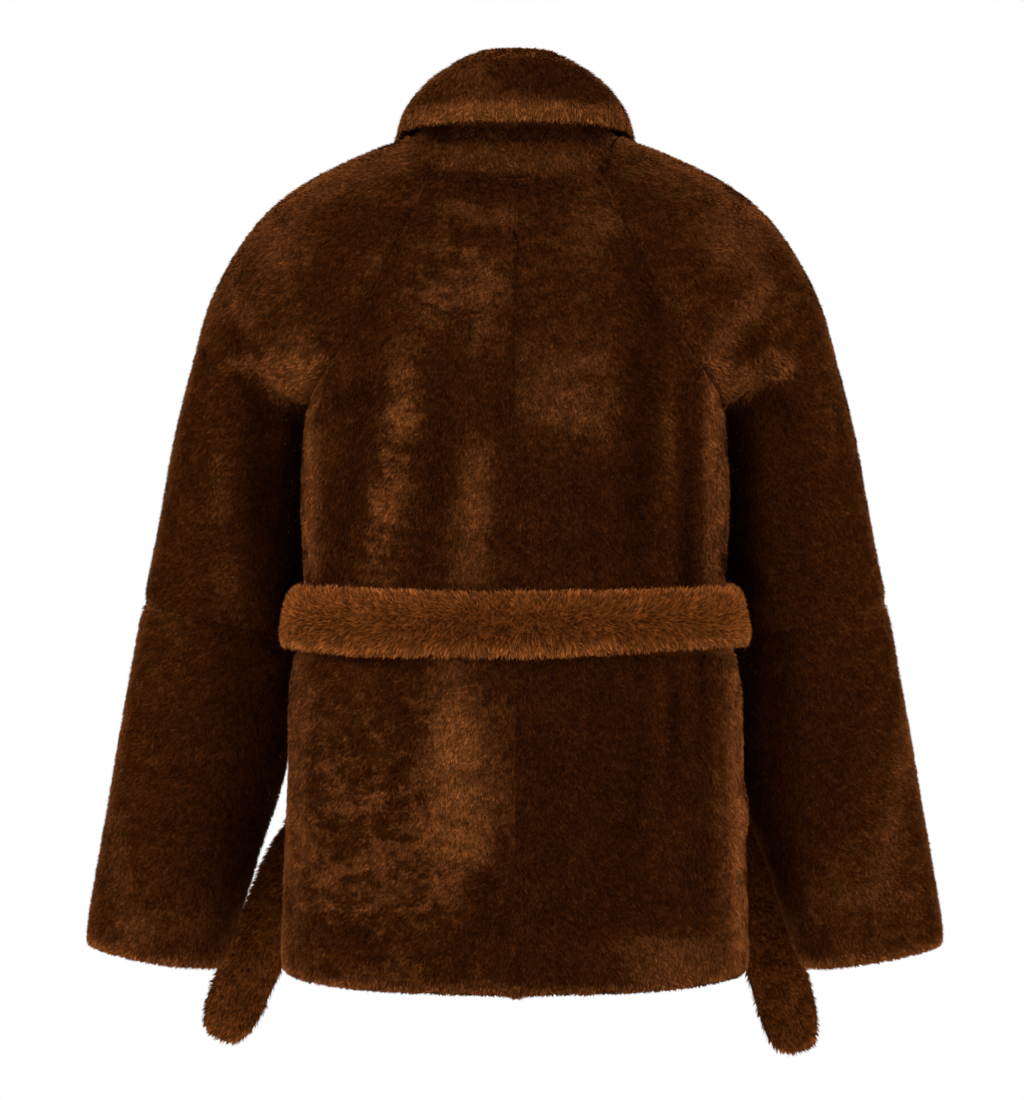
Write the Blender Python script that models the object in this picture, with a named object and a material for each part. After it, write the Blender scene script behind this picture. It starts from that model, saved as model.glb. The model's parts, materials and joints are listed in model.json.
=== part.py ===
"""A short belted shearling coat with raglan sleeves and a big turned collar, worn fur side out.

The coat is filled out as on a wearer: one hollow form, open at the neck, the hem and both cuffs.
Each panel is a wall of skin and pile, worked out from rings and arcs, folded where the cloth
folds, and cut off at its seams, which leave a gap to the next panel.

The frame has +Z up. The front faces -Y, the wearer's left is +X, and the origin is the middle of
the neck at shoulder height. Tables and sizes are in millimetres, and add_piece() makes them metres.
"""

from collections import namedtuple
from math import cos, pi, radians, sin

import bmesh
import bpy
import numpy as np
from mathutils.bvhtree import BVHTree

MM = 0.001
X, Y, Z = np.eye(3)
LEFT, RIGHT = 1, -1  # the wearer's sides, as signs of X

WALL = 12.0  # skin and pile
SEAM_GAP = 0.3
EDGE_DIP = 3.0  # how far the pile rolls in at seams and edges
EDGE_BAND = 8.0  # how wide that roll is

# The body below the underarm, as rings. A dent makes room for the arm at the side seam.
Ring = namedtuple("Ring", "height half_width back front dent")
BODY = (
    Ring(-678, 196.5, 142, 140, 0),
    Ring(-600, 194, 138, 137, 0),
    Ring(-500, 190, 131, 131, 0),
    Ring(-430, 188.5, 123, 123, 0),
    Ring(-386, 175, 118, 118, 0),
    Ring(-345, 179, 121, 120, 6),
    Ring(-280, 183, 127, 131, 12),
    Ring(-212, 186, 125, 139, 14),
)
SQUARENESS = 2.3  # a ring is a superellipse, and 2 would be an ellipse
SIDE_FORWARD = -24.0  # the side seam's Y
DENT_BACK, DENT_FRONT = 0.3, 0.45  # its reach, as shares of the way from the side to a centre
DENT_FORWARD = 0.15  # how far the dent lies in front of the side seam, below its top
HEM_DROP = 5.0  # the hem at centre back, below its sides

# The body from the underarm (share 0) to the neck (share 1). arrive is the angle at which a row
# meets the raglan seam, and front_edge is where the front ends, from 0 at centre front to 1.
Yoke = namedtuple("Yoke", "share arrive back_y back_z front_y front_z front_edge")
YOKE = (
    Yoke(0.00, 90, 125, -212, -139, -212, -0.05),
    Yoke(0.13, 64, 122, -189, -134, -192, 0.04),
    Yoke(0.25, 44, 118, -166, -129, -174, 0.13),
    Yoke(0.40, 30, 111, -138, -121, -151, 0.26),
    Yoke(0.55, 18, 104, -110, -113, -128, 0.40),
    Yoke(0.70, 16, 94, -82, -105, -105, 0.55),
    Yoke(0.85, 20, 82, -54, -98, -82, 0.72),
    Yoke(1.00, 30, 66, -25, -92, -60, 1.00),
)

# The front edges below the underarm. The right front wraps over the left, which steps back for it.
FrontEdge = namedtuple("FrontEdge", "height share")
FRONT_EDGE = (
    FrontEdge(-678, -0.43),
    FrontEdge(-500, -0.42),
    FrontEdge(-386, -0.40),
    FrontEdge(-345, -0.35),
    FrontEdge(-280, -0.20),
    FrontEdge(-212, -0.05),
)
UNDERLAP_STEP = 16.0
UNDERLAP_MARGIN = 0.20  # how far past the right front's edge the step reaches, as a share
UNDERLAP_SLOPE = 0.16

# Sections across the arm below the underarm. run is the way down the sleeve from it.
Tube = namedtuple("Tube", "run outer_x outer_z inner_x inner_z y half_depth")
ARM = (
    Tube(0, 269, -166, 172, -212, -24, 68),
    Tube(72, 288, -235, 176, -262, -37, 68),
    Tube(123, 298, -285, 177, -310, -53, 68),
    Tube(174, 309, -335, 184, -360, -68, 68),
    Tube(215, 318, -373, 187, -404, -76, 68),
    Tube(281, 330, -440, 190, -466, -78, 69),
    Tube(345, 341, -503, 201, -528, -76, 68),
    Tube(396, 349, -553, 215, -580, -74, 66),
    Tube(447, 358, -604, 229, -631, -72, 63),
    Tube(506, 367, -662, 247, -685, -70, 60),
)
ELBOW_SEAM = 215  # its run
ARM_NEARER = {LEFT: 0, RIGHT: 5}  # how much closer the lower sleeve's inner edge hangs to the body
ARM_NEARER_RUN = 110  # the run over which it comes closer

# The sleeve's top, from the underarm (share 0), where it is a closed ring, to the neck (share 1).
# Each row is an arc over the shoulder that ends at the raglan seams, sweep degrees each way.
Cap = namedtuple("Cap", "share top_x top_z seam_x seam_z sweep back_radius front_radius")
CAP = (
    Cap(0.00, 269, -166, 172, -212, 180, 68, 68),
    Cap(0.13, 263, -146, 167, -202, 118, 84, 68),
    Cap(0.25, 257, -125, 150, -177, 92, 104, 77),
    Cap(0.40, 243, -96, 131, -150, 80, 114, 84),
    Cap(0.55, 219, -58, 116, -121, 75, 117, 87),
    Cap(0.70, 186, -28, 102, -91, 75, 109, 85),
    Cap(0.85, 142, -5, 85, -55, 75, 90, 82),
    Cap(1.00, 88, 17, 67, -17, 75, 67, 76),
)
CAP_Y = -6.0

# Ridges (height above 0) and troughs of the cloth, each along a line from top to bottom, on the
# back or the front half of the body or of the sleeves. X is signed, so left and right differ.
Fold = namedtuple("Fold", "part face top_x top_z bottom_x bottom_z half_width height")
FOLDS = (
    Fold("body", "back", 112, -160, 106, -358, 30, 4.5),
    Fold("body", "back", 142, -215, 138, -358, 24, -5.0),
    Fold("body", "back", 76, -225, 68, -358, 24, -4.0),
    Fold("body", "back", 42, -190, 38, -358, 26, 3.5),
    Fold("body", "back", -58, -110, -42, -250, 44, 4.0),
    Fold("body", "back", -102, -110, -102, -358, 22, -4.0),
    Fold("body", "back", -124, -160, -122, -320, 24, 4.5),
    Fold("body", "back", -143, -240, -142, -358, 22, -6.0),
    Fold("body", "back", -161, -250, -160, -358, 16, 3.0),
    Fold("body", "back", 30, -414, 62, -600, 40, 4.5),
    Fold("body", "back", 118, -414, 120, -560, 36, -3.5),
    Fold("body", "back", -30, -414, -48, -640, 34, -3.5),
    Fold("body", "back", -96, -414, -92, -600, 34, 4.0),
    Fold("body", "back", -150, -414, -156, -630, 26, -5.0),
    Fold("body", "front", 70, -120, 60, -260, 36, 4.0),
    Fold("body", "front", 118, -230, 110, -358, 26, -4.0),
    Fold("body", "front", -66, -120, -58, -300, 36, 4.0),
    Fold("body", "front", -116, -230, -110, -358, 26, -4.5),
    Fold("body", "front", -20, -280, -36, -358, 26, -3.5),
    Fold("body", "front", 110, -414, 118, -620, 34, -4.0),
    Fold("body", "front", -104, -414, -112, -600, 34, -4.0),
    Fold("body", "front", 20, -414, 14, -600, 40, 3.5),
    Fold("sleeve", "back", 228, -118, 186, -200, 26, 5.0),
    Fold("sleeve", "back", 213, -170, 206, -330, 24, -5.5),
    Fold("sleeve", "back", 238, -230, 226, -390, 28, 4.0),
    Fold("sleeve", "back", 205, -430, 250, -470, 24, -3.5),
    Fold("sleeve", "back", 300, -420, 262, -600, 34, 3.5),
    Fold("sleeve", "back", -178, -172, -214, -122, 24, 5.0),
    Fold("sleeve", "back", -192, -160, -226, -230, 22, -5.0),
    Fold("sleeve", "back", -180, -320, -206, -352, 22, -5.0),
    Fold("sleeve", "back", -262, -380, -214, -430, 26, 4.0),
    Fold("sleeve", "back", -300, -430, -268, -590, 34, 3.5),
    Fold("sleeve", "front", 200, -230, 268, -300, 26, -4.5),
    Fold("sleeve", "front", 205, -330, 280, -360, 26, -5.0),
    Fold("sleeve", "front", 214, -420, 286, -400, 24, 4.0),
    Fold("sleeve", "front", -200, -240, -266, -290, 26, -4.5),
    Fold("sleeve", "front", -204, -335, -276, -350, 26, -5.0),
    Fold("sleeve", "front", -216, -425, -290, -410, 24, 4.0),
)
YOKE_BLEND = 0.3  # up to this share the yoke keeps some of the ring's shape
YOKE_HANDLES = (0.42, 0.36)  # of a row's curve, from the centre and from the raglan seam
FACE_FADE = 36.0  # a fold fades out over this depth towards its face's border

# Rows and columns of the panels, from bottom to top and from one seam to the other.
RING_HEIGHTS = (-678, -670, -640, -605, -570, -535, -500, -465, -435, -414, -386, -358)
RING_HEIGHTS += (-340, -310, -280, -250, -230, -212)
CAP_SHARES = (0.06, 0.13, 0.20, 0.29, 0.38, 0.48, 0.58, 0.68, 0.78, 0.87, 0.955, 1.0)
LOWER_ARM_RUNS = (506, 498, 460, 420, 385, 350, 315, 280, 250, 223, ELBOW_SEAM)
UPPER_ARM_RUNS = (ELBOW_SEAM, 207, 180, 150, 120, 90, 60, 30, 0)
BODY_COLUMNS = 12
BODY_ROW = 280.0  # about how long a back's or a front's row is
SLEEVE_COLUMNS = 20
SLEEVE_ROW = 420.0

# The collar, whose wall rises from the neck seam to a roll, turns over and comes down as a leaf.
# around is 0 at centre back, 1 at the back raglan seam, 2 on the shoulder and 3 at the front one.
Neck = namedtuple("Neck", "around roll_x roll_y roll_z edge_x edge_y edge_z")
NECK = (
    Neck(0.0, 0, 68, 74, 0, 88, 18),
    Neck(0.5, 29, 62, 72.5, 41, 82, 18),
    Neck(1.0, 50, 45, 60.5, 72, 60, 17),
    Neck(1.5, 63, 20, 48, 85, 30, 17),
    Neck(2.0, 69, -8, 36, 92, -6, 16),
    Neck(2.5, 69, -46, 17, 102, -48, 6),
    Neck(3.0, 62, -78, -4, 119, -66, -11),
)
# Down the front edges the collar turns over at once. Its roll stands this far past the edge, and
# its leaf lies this wide on the front.
Lapel = namedtuple("Lapel", "share roll leaf")
LAPEL = (
    Lapel(0.00, 4, 8),
    Lapel(0.20, 4, 36),
    Lapel(0.40, 5, 62),
    Lapel(0.70, 6, 66),
    Lapel(1.00, 8, 60),
)
COLLAR_ENDS = {LEFT: 0.20, RIGHT: 0.06}  # shares where it ends; the left end goes under the right
COLLAR_EDGE_ROUND = 0.5  # the wall at the leaf's edge, as a share
COLLAR_CLEAR = 4.0  # between the leaf and what it lies on
STAND_RISE = 0.6  # how much the stand leans upright as it leaves the neck seam
COLLAR_HANDLE = 0.4
ROLL_BEND = 8.0  # how far the wall runs on before it turns over at the roll
COLLAR_EASES = 8  # how often the directions of its thickness are evened out
STAND_POINTS = 4
LEAF_POINTS = 5

# The belt lies on the body's rings, and its two ends hang from a knot at centre front.
BELT_HEIGHTS = (-414, -386, -358)
BELT_CLEAR = 1.2
BELT_THICK = 17.5
KNOT_HEIGHT = -392.0
KNOT_HALF = np.array([41.0, 17.5, 33.0])
KNOT_SQUARENESS = 4
KNOT_RINGS, KNOT_SIDES = 12, 20
TAIL_THICK = 16.0
# A belt end's middle line, from the knot down. turn tilts its width from level.
Tail = namedtuple("Tail", "x y z half_width turn")
TAILS = {
    "belt_end_left": (
        Tail(22, -153, -425.4, 18, 0),
        Tail(54, -150, -447, 23, 28),
        Tail(96, -147, -480, 27, 42),
        Tail(140, -146, -522, 28, 38),
        Tail(176, -147, -572, 28, 29),
        Tail(204, -148, -629, 28, 24),
        Tail(232, -148, -695, 28, 22),
        Tail(245, -148, -727, 27, 22),
        Tail(251, -148, -742, 23, 22),
        Tail(256, -148, -752, 15, 22),
    ),
    "belt_end_right": (
        Tail(-22, -153, -425.4, 18, 0),
        Tail(-56, -150, -446, 23, -30),
        Tail(-102, -147, -477, 27, -42),
        Tail(-146, -146, -516, 28, -36),
        Tail(-181, -147, -568, 28, -26),
        Tail(-206, -148, -630, 28, -19),
        Tail(-229, -148, -697, 28, -17),
        Tail(-239, -148, -738, 27, -16),
        Tail(-243, -148, -753, 23, -16),
        Tail(-246, -148, -763, 15, -16),
    ),
}

Finish = namedtuple("Finish", "colour roughness")
FINISHES = {
    "coat_fur": Finish((0.075, 0.033, 0.014), 0.9),
    "belt_fur": Finish((0.150, 0.066, 0.028), 0.9),
}


def smooth(rows, at):
    """The row at a value of the rows' first column, on a smooth curve through the rows."""
    table = np.array(rows, float)
    keys, values = table[:, 0], table[:, 1:]
    if keys[0] > keys[-1]:
        keys, values = keys[::-1], values[::-1]
    slopes = np.gradient(values, keys, axis=0)
    k = int(np.clip(np.searchsorted(keys, at) - 1, 0, len(keys) - 2))
    span = keys[k + 1] - keys[k]
    u = (at - keys[k]) / span
    blend = (1 + 2 * u) * (1 - u) ** 2 * values[k] + u * (1 - u) ** 2 * span * slopes[k]
    blend += u * u * (3 - 2 * u) * values[k + 1] - u * u * (1 - u) * span * slopes[k + 1]
    return type(rows[0])(at, *blend)


def unit(vector):
    return vector / max(np.linalg.norm(vector), 1e-9)


def step(value):
    """0 below 0, 1 above 1, and a soft rise between."""
    value = min(max(value, 0.0), 1.0)
    return value * value * (3 - 2 * value)


def bezier(a, b, c, d, u):
    return (1 - u) ** 3 * a + 3 * (1 - u) ** 2 * u * b + 3 * (1 - u) * u * u * c + u**3 * d


def spaced(count, length):
    """count shares from 0 to 1, with one close to either end, where the pile rolls in."""
    band = EDGE_BAND / length
    return np.concatenate([[0], np.linspace(band, 1 - band, count - 2), [1]])


def ring_point(height, share):
    """A point of the body: share is 0 at centre back, 1 at the side and 2 at centre front."""
    ring = smooth(BODY, height)
    across, deep = sin(share * pi / 2), cos(share * pi / 2)
    swing = abs(deep) ** (2 / SQUARENESS)
    x = ring.half_width * np.sign(across) * abs(across) ** (2 / SQUARENESS)
    dent_at = 1 + DENT_FORWARD * step((BODY[-1].height - height) / 70)
    reach = DENT_BACK if share < dent_at else DENT_FRONT
    x -= ring.dent * max(0.0, 1 - ((share - dent_at) / reach) ** 2) ** 2
    y = (ring.back if deep > 0 else -ring.front) * swing + SIDE_FORWARD * (1 - swing)
    drop = HEM_DROP * max(0.0, deep) * step((BODY[2].height - height) / 100)
    return np.array([x, y, height - drop])


def arc_point(top, seam, sweep, radius, y, around):
    """A point of a section across the arm: around is 1 at the back seam, -1 at the front one."""
    lift = top - seam
    reach = np.linalg.norm(lift) / (1 - cos(radians(sweep)))
    turn = radians(sweep) * around
    centre = top - reach * unit(lift)
    return centre + cos(turn) * reach * unit(lift) + (y + sin(turn) * radius) * Y


def cap_point(share, around):
    cap = smooth(CAP, share)
    top = np.array([cap.top_x, 0, cap.top_z])
    seam = np.array([cap.seam_x, 0, cap.seam_z])
    radius = cap.back_radius if around > 0 else cap.front_radius
    y = SIDE_FORWARD + (CAP_Y - SIDE_FORWARD) * share
    return arc_point(top, seam, cap.sweep, radius, y, around)


def arm_point(run, around, side):
    tube = smooth(ARM, run)
    nearer = ARM_NEARER[side] * step((run - ELBOW_SEAM) / ARM_NEARER_RUN)
    outer = np.array([tube.outer_x, 0, tube.outer_z])
    inner = np.array([tube.inner_x - nearer, 0, tube.inner_z])
    return arc_point(outer, inner, 180, tube.half_depth, tube.y, around)


def yoke_curve(share, across, face):
    """A row of the yoke, as a curve from the centre to the raglan seam."""
    yoke = smooth(YOKE, share)
    back = face == "back"
    start = np.array([0, yoke.back_y, yoke.back_z] if back else [0, yoke.front_y, yoke.front_z])
    seam = cap_point(share, 1 if back else -1)
    arrive = radians(yoke.arrive)
    heading = np.array([cos(arrive), -sin(arrive) if back else sin(arrive), 0])
    span = np.linalg.norm(seam - start)
    leave, meet = np.array(YOKE_HANDLES) * span
    return bezier(start, start + leave * X, seam - meet * heading, seam, across)


def yoke_point(share, across, face):
    """A point above the underarm: across is 0 at the centre and 1 at that face's raglan seam."""
    out = abs(across)
    ring = ring_point(BODY[-1].height, out if face == "back" else 2 - out)
    keep = max(0.0, 1 - share / YOKE_BLEND) ** 2
    place = yoke_curve(share, out, face) + keep * (ring - yoke_curve(0, out, face))
    return place * [-1, 1, 1] if across < 0 else place


def fold_lift(part, place, depth):
    """How far the folds lift a place, whose depth is + on the back face and - on the front."""
    lift = 0.0
    for fold in FOLDS:
        if fold.part != part or (fold.face == "back") != (depth > 0):
            continue
        top, bottom = np.array([fold.top_x, fold.top_z]), np.array([fold.bottom_x, fold.bottom_z])
        length = np.linalg.norm(bottom - top)
        down = (bottom - top) / length
        offset = place[[0, 2]] - top
        along, beside = offset @ down, abs(offset[0] * down[1] - offset[1] * down[0])
        ends = step(along / fold.half_width) * step((length - along) / fold.half_width)
        lift += fold.height * ends * max(0.0, 1 - (beside / fold.half_width) ** 2) ** 2
    return lift * step(abs(depth) / FACE_FADE)


class Panel:
    """A grid of places on the coat's outer face, its rows from bottom to top."""

    def __init__(self, name, side, rows, lifts, tube_rows=0):
        self.name, self.side = name, side
        self.places = np.array(rows) * [side, 1, 1]
        self.lifts = np.array(lifts)
        self.tube_rows = tube_rows  # the rows whose two ends meet, below an open arc

    def triangles(self):
        """The grid's faces, wound outwards, as triples of (row, column)."""
        rows, columns = self.places.shape[:2]
        for i in range(rows - 1):
            for j in range(columns - 1):
                a, b, c, d = (i, j), (i + 1, j), (i + 1, j + 1), (i, j + 1)
                for face in ((a, b, c), (a, c, d)):
                    if len({key(self.places[at]) for at in face}) == 3:
                        yield face if self.side == LEFT else face[::-1]

    def border(self):
        """The grid's border as pairs of neighbours, walked with the panel on the left hand."""
        rows, columns = self.places.shape[:2]
        low, last = self.tube_rows, columns - 1
        steps = [((i, 0), (i + 1, 0)) for i in range(low, rows - 1)]
        steps += [((rows - 1, j), (rows - 1, j + 1)) for j in range(last)]
        steps += [((i + 1, last), (i, last)) for i in range(low, rows - 1)]
        steps += [((0, j + 1), (0, j)) for j in range(last)]
        steps = [(a, b) for a, b in steps if key(self.places[a]) != key(self.places[b])]
        return steps if self.side == LEFT else [(b, a) for a, b in steps]


def key(place):
    """The same for all grid points at one place."""
    return tuple(np.round(place, 2) + 0.0)


def body_panel(name, side, face):
    """A back or a front, from its hem to the neck. Its columns run from back to front."""
    rows, lifts = [], []
    for level in RING_HEIGHTS + CAP_SHARES:
        yoke = level > 0
        if face == "back":
            ways = spaced(BODY_COLUMNS, BODY_ROW)
            edge = 0.0
        else:
            edge = smooth(YOKE, level).front_edge if yoke else smooth(FRONT_EDGE, level).share
            ways = 1 - (1 - edge) * spaced(BODY_COLUMNS, BODY_ROW)
        if yoke:
            row = [yoke_point(level, way, face) for way in ways]
        else:
            row = [ring_point(level, way if face == "back" else 2 - way) for way in ways]
        rows.append(row)
        lift = [fold_lift("body", place * [side, 1, 1], place[1] - SIDE_FORWARD) for place in row]
        if face == "front" and side == LEFT:
            reach = (UNDERLAP_MARGIN - edge - ways) / UNDERLAP_SLOPE
            lift = [height - UNDERLAP_STEP * step(r) for height, r in zip(lift, reach)]
        lifts.append(lift)
    return Panel(name, side, rows, lifts)


def sleeve_panel(name, side, runs, shares):
    """A stretch of sleeve, from runs below the underarm to shares of the cap above it."""
    arounds = 1 - 2 * spaced(SLEEVE_COLUMNS, SLEEVE_ROW)
    rows = [[arm_point(run, around, side) for around in arounds] for run in runs]
    rows += [[cap_point(share, around) for around in arounds] for share in shares]
    middles = [smooth(ARM, run).y for run in runs] + [CAP_Y] * len(shares)
    lifts = [
        [fold_lift("sleeve", place * [side, 1, 1], place[1] - middle) for place in row]
        for row, middle in zip(rows, middles)
    ]
    tube_rows = len(runs) - 1
    return Panel(name, side, rows, lifts, tube_rows)


def shared_normals(panels):
    """The outward direction at each place, the same for all panels that meet there."""
    total = {}
    for panel in panels:
        for face in panel.triangles():
            corners = [panel.places[at] for at in face]
            for a, b, c in zip(corners, corners[1:] + corners[:1], corners[2:] + corners[:2]):
                ab, ac = unit(b - a), unit(c - a)
                angle = np.arccos(np.clip(ab @ ac, -1, 1))
                total[key(a)] = total.get(key(a), 0) + angle * unit(np.cross(ab, ac))
    return {place: unit(normal) for place, normal in total.items()}


def inward_shifts(steps, normals):
    """How each border place moves into its panel, to leave half the gap along every seam."""
    sides = {}
    for a, b in steps:
        normal = unit(normals[key(a)] + normals[key(b)])
        inward = unit(np.cross(normal, b - a))
        for place in (a, b):
            sides.setdefault(key(place), []).append(inward)
    shifts = {}
    for place, (first, *more) in sides.items():
        last = more[-1] if more else first
        shifts[place] = SEAM_GAP / 2 * (first + last) / max(1 + first @ last, 0.1)
    return shifts


def rim(a, b, outer, inner):
    """Two triangles across a wall's edge, split the same way on either side of a seam."""
    if a < b:
        return [(outer[b], outer[a], inner[b]), (outer[a], inner[a], inner[b])]
    return [(outer[b], outer[a], inner[a]), (outer[b], inner[a], inner[b])]


def wall(panel, normals):
    """The panel as a closed wall: its vertices and triangles."""
    border = [(panel.places[a], panel.places[b]) for a, b in panel.border()]
    shifts = inward_shifts(border, normals)
    outer, inner, vertices = {}, {}, []
    for at in np.ndindex(panel.places.shape[:2]):
        place = key(panel.places[at])
        if place in outer:
            continue
        outer[place], inner[place] = len(vertices), len(vertices) + 1
        middle = panel.places[at] + shifts.get(place, np.zeros(3))
        dip = EDGE_DIP if place in shifts else 0.0
        for height in (panel.lifts[at] - dip, panel.lifts[at] - WALL):
            vertices.append(middle + height * normals[place])
    triangles = []
    for face in panel.triangles():
        corners = [key(panel.places[at]) for at in face]
        triangles.append(tuple(outer[corner] for corner in corners))
        triangles.append(tuple(inner[corner] for corner in reversed(corners)))
    for a, b in border:
        triangles += rim(key(a), key(b), outer, inner)
    return vertices, triangles


def neck_path(panels, side):
    """The places along the neck seam, from centre back to the collar's end on one front.

    Each is (where it is on the collar's tables, its place, the lift of its panel there).
    """
    back, sleeve, front = (panels[(name, side)] for name in ("back", "sleeve_upper", "front"))
    path = []
    for first, panel in ((0, back), (1, sleeve)):
        columns = panel.places.shape[1]
        span = 1 if first == 0 else 2
        for j in range(columns):
            around = first + span * j / (columns - 1)
            path.append((around, panel.places[-1, j], panel.lifts[-1, j]))
    shares = (0.0,) + CAP_SHARES
    for share, row, lifts in list(zip(shares[::-1], front.places[::-1], front.lifts[::-1])):
        if share >= COLLAR_ENDS[side]:
            path.append((4 - share, row[-1], lifts[-1]))
    kept = [path[0]]
    for spot in path[1:]:
        if key(spot[1]) != key(kept[-1][1]):
            kept.append(spot)
    return kept


def collar_section(around, side, base, away, normal, surface):
    """The hidden face of the collar's wall at one place, from its seam to the leaf's edge."""
    on_front = around > 3
    if on_front:
        lapel = smooth(LAPEL, 4 - around)
        roll = base + lapel.roll * away + (EDGE_DIP + COLLAR_CLEAR) / 2 * normal
        reach = base - lapel.leaf * away + WALL * normal
        spot, facing, _, _ = surface.find_nearest(reach)
        facing = np.array(facing)
        edge = np.array(spot) + COLLAR_CLEAR * facing
        over = normal
        down = unit((edge - roll) - ((edge - roll) @ facing) * facing)
    else:
        neck = smooth(NECK, around)
        roll = np.array([side * neck.roll_x, neck.roll_y, neck.roll_z])
        edge = np.array([side * neck.edge_x, neck.edge_y, neck.edge_z])
        outward = unit((edge - roll) * [1, 1, 0])
        turned = step(around - 2)
        over = unit(turned * normal + (1 - turned) * outward)
        down = unit(unit(edge - roll) - (1 - turned) * Z)
    stand, leaf = np.linalg.norm(roll - base), np.linalg.norm(edge - roll)
    rise = unit(away + (0 if on_front else STAND_RISE) * Z)
    bend = min(COLLAR_HANDLE * stand, ROLL_BEND)
    stand_curve = (base, base + COLLAR_HANDLE * stand * rise, roll - bend * over, roll)
    leaf_curve = (roll, roll + bend * over, edge - COLLAR_HANDLE * leaf * down, edge)
    line = [bezier(*stand_curve, u) for u in np.linspace(0, 1, STAND_POINTS)]
    for u in np.linspace(0, 1, LEAF_POINTS)[1:]:
        place = bezier(*leaf_curve, u)
        spot, facing, _, _ = surface.find_nearest(place)
        height = (place - np.array(spot)) @ np.array(facing)
        line.append(place + max(0.0, COLLAR_CLEAR - height) * np.array(facing))
    return line


def collar(panels, normals):
    """The collar as a closed wall, from the right front's end round the neck to the left's."""
    outer_faces = {}
    for side in (LEFT, RIGHT):
        points, faces = [], []
        for name in ("front", "sleeve_upper"):
            panel = panels[(name, side)]
            for face in panel.triangles():
                faces.append([len(points) + n for n in range(3)])
                for at in face:
                    place = panel.places[at]
                    points.append(tuple(place + panel.lifts[at] * normals[key(place)]))
        outer_faces[side] = BVHTree.FromPolygons(points, faces)
    left, right = neck_path(panels, LEFT), neck_path(panels, RIGHT)
    path = [(RIGHT, *spot) for spot in right[:0:-1]] + [(LEFT, *spot) for spot in left]
    places = [place for _, _, place, _ in path]
    shifts = inward_shifts(list(zip(places, places[1:])), normals)
    hidden, feet = [], []
    for side, around, place, lift in path:
        normal, shift = normals[key(place)], shifts[key(place)]
        base = place + (lift - EDGE_DIP) * normal - shift
        feet.append(place + (lift - WALL) * normal - shift)
        surface = outer_faces[side]
        hidden.append(collar_section(around, side, base, -unit(shift), normal, surface))
    hidden = np.array(hidden)
    facing = np.cross(np.gradient(hidden, axis=1), np.gradient(hidden, axis=0))
    for _ in range(COLLAR_EASES):
        facing /= np.linalg.norm(facing, axis=2, keepdims=True)
        facing[1:-1] = facing[:-2] + 2 * facing[1:-1] + facing[2:]
    facing /= np.linalg.norm(facing, axis=2, keepdims=True)
    thick = np.full(hidden.shape[1], WALL)
    thick[-1] *= COLLAR_EDGE_ROUND
    shown = hidden - thick[:, None] * facing
    shown[:, 0] = feet
    stations, across = hidden.shape[:2]
    loop = np.concatenate([hidden, shown[:, ::-1]], axis=1)
    count = loop.shape[1]
    triangles = []
    for n in range(stations - 1):
        for k in range(count - 1):
            a, b = n * count + k, n * count + k + 1
            c, d = a + count, b + count
            triangles += [(a, c, d), (a, d, b)]
        first, second = key(places[n]), key(places[n + 1])
        tops = {first: n * count, second: (n + 1) * count}
        bottoms = {place: top + count - 1 for place, top in tops.items()}
        triangles += rim(first, second, tops, bottoms)
    for n, turn in ((0, 1), (stations - 1, -1)):
        for k in range(across - 1):
            a, b = n * count + k, n * count + k + 1
            c, d = n * count + count - 1 - k, n * count + count - 2 - k
            triangles += [(a, b, d)[::turn], (a, d, c)[::turn]]
    return loop.reshape(-1, 3), triangles


def strap(rings, closed):
    """A closed body through rings of points, each ring a loop; closed joins its last to its first."""
    rings = np.array(rings)
    count, around = rings.shape[:2]
    triangles = []
    for n in range(count if closed else count - 1):
        for k in range(around):
            a, b = n * around + k, n * around + (k + 1) % around
            c, d = (a + around) % (count * around), (b + around) % (count * around)
            triangles += [(a, c, d), (a, d, b)]
    if not closed:
        last = (count - 1) * around
        for k in range(1, around - 1):
            triangles += [(0, k, k + 1), (last, last + k + 1, last + k)]
    return rings.reshape(-1, 3), triangles


# The belt's outer face: height as a share of its half width, and thickness as a share of the full.
BELT_FACE = ((-1.0, 0.55), (-0.5, 0.94), (0.0, 1.0), (0.5, 0.94), (1.0, 0.55))


def belt():
    """The loop round the waist, over the right front's edge and down onto the left front."""
    ways = spaced(BODY_COLUMNS, BODY_ROW)
    edge = smooth(FRONT_EDGE, BELT_HEIGHTS[1]).share
    front_ways = 1 + (1 - edge) * ways[1:]
    turns = [(LEFT, way) for way in ways]
    turns += [(LEFT, way) for way in front_ways if way < 2 + edge - EDGE_BAND / BODY_ROW]
    turns += [(RIGHT, way) for way in front_ways[::-1]]
    turns += [(RIGHT, way) for way in ways[:0:-1]]
    seats = np.array(
        [[ring_point(height, way) * [side, 1, 1] for height in BELT_HEIGHTS] for side, way in turns]
    )
    ahead = np.roll(seats, -1, axis=0) - np.roll(seats, 1, axis=0)
    facing = np.cross(Z, ahead)
    facing /= np.linalg.norm(facing, axis=2, keepdims=True)
    inner = seats + BELT_CLEAR * facing
    rings = []
    for low, middle, high, out in zip(inner[:, 0], inner[:, 1], inner[:, 2], facing[:, 1]):
        ring = [high, middle, low]
        for up, thick in BELT_FACE:
            end = high if up > 0 else low
            ring.append(middle + abs(up) * (end - middle) + thick * BELT_THICK * out)
        rings.append(ring)
    return strap(rings, closed=True)


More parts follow.
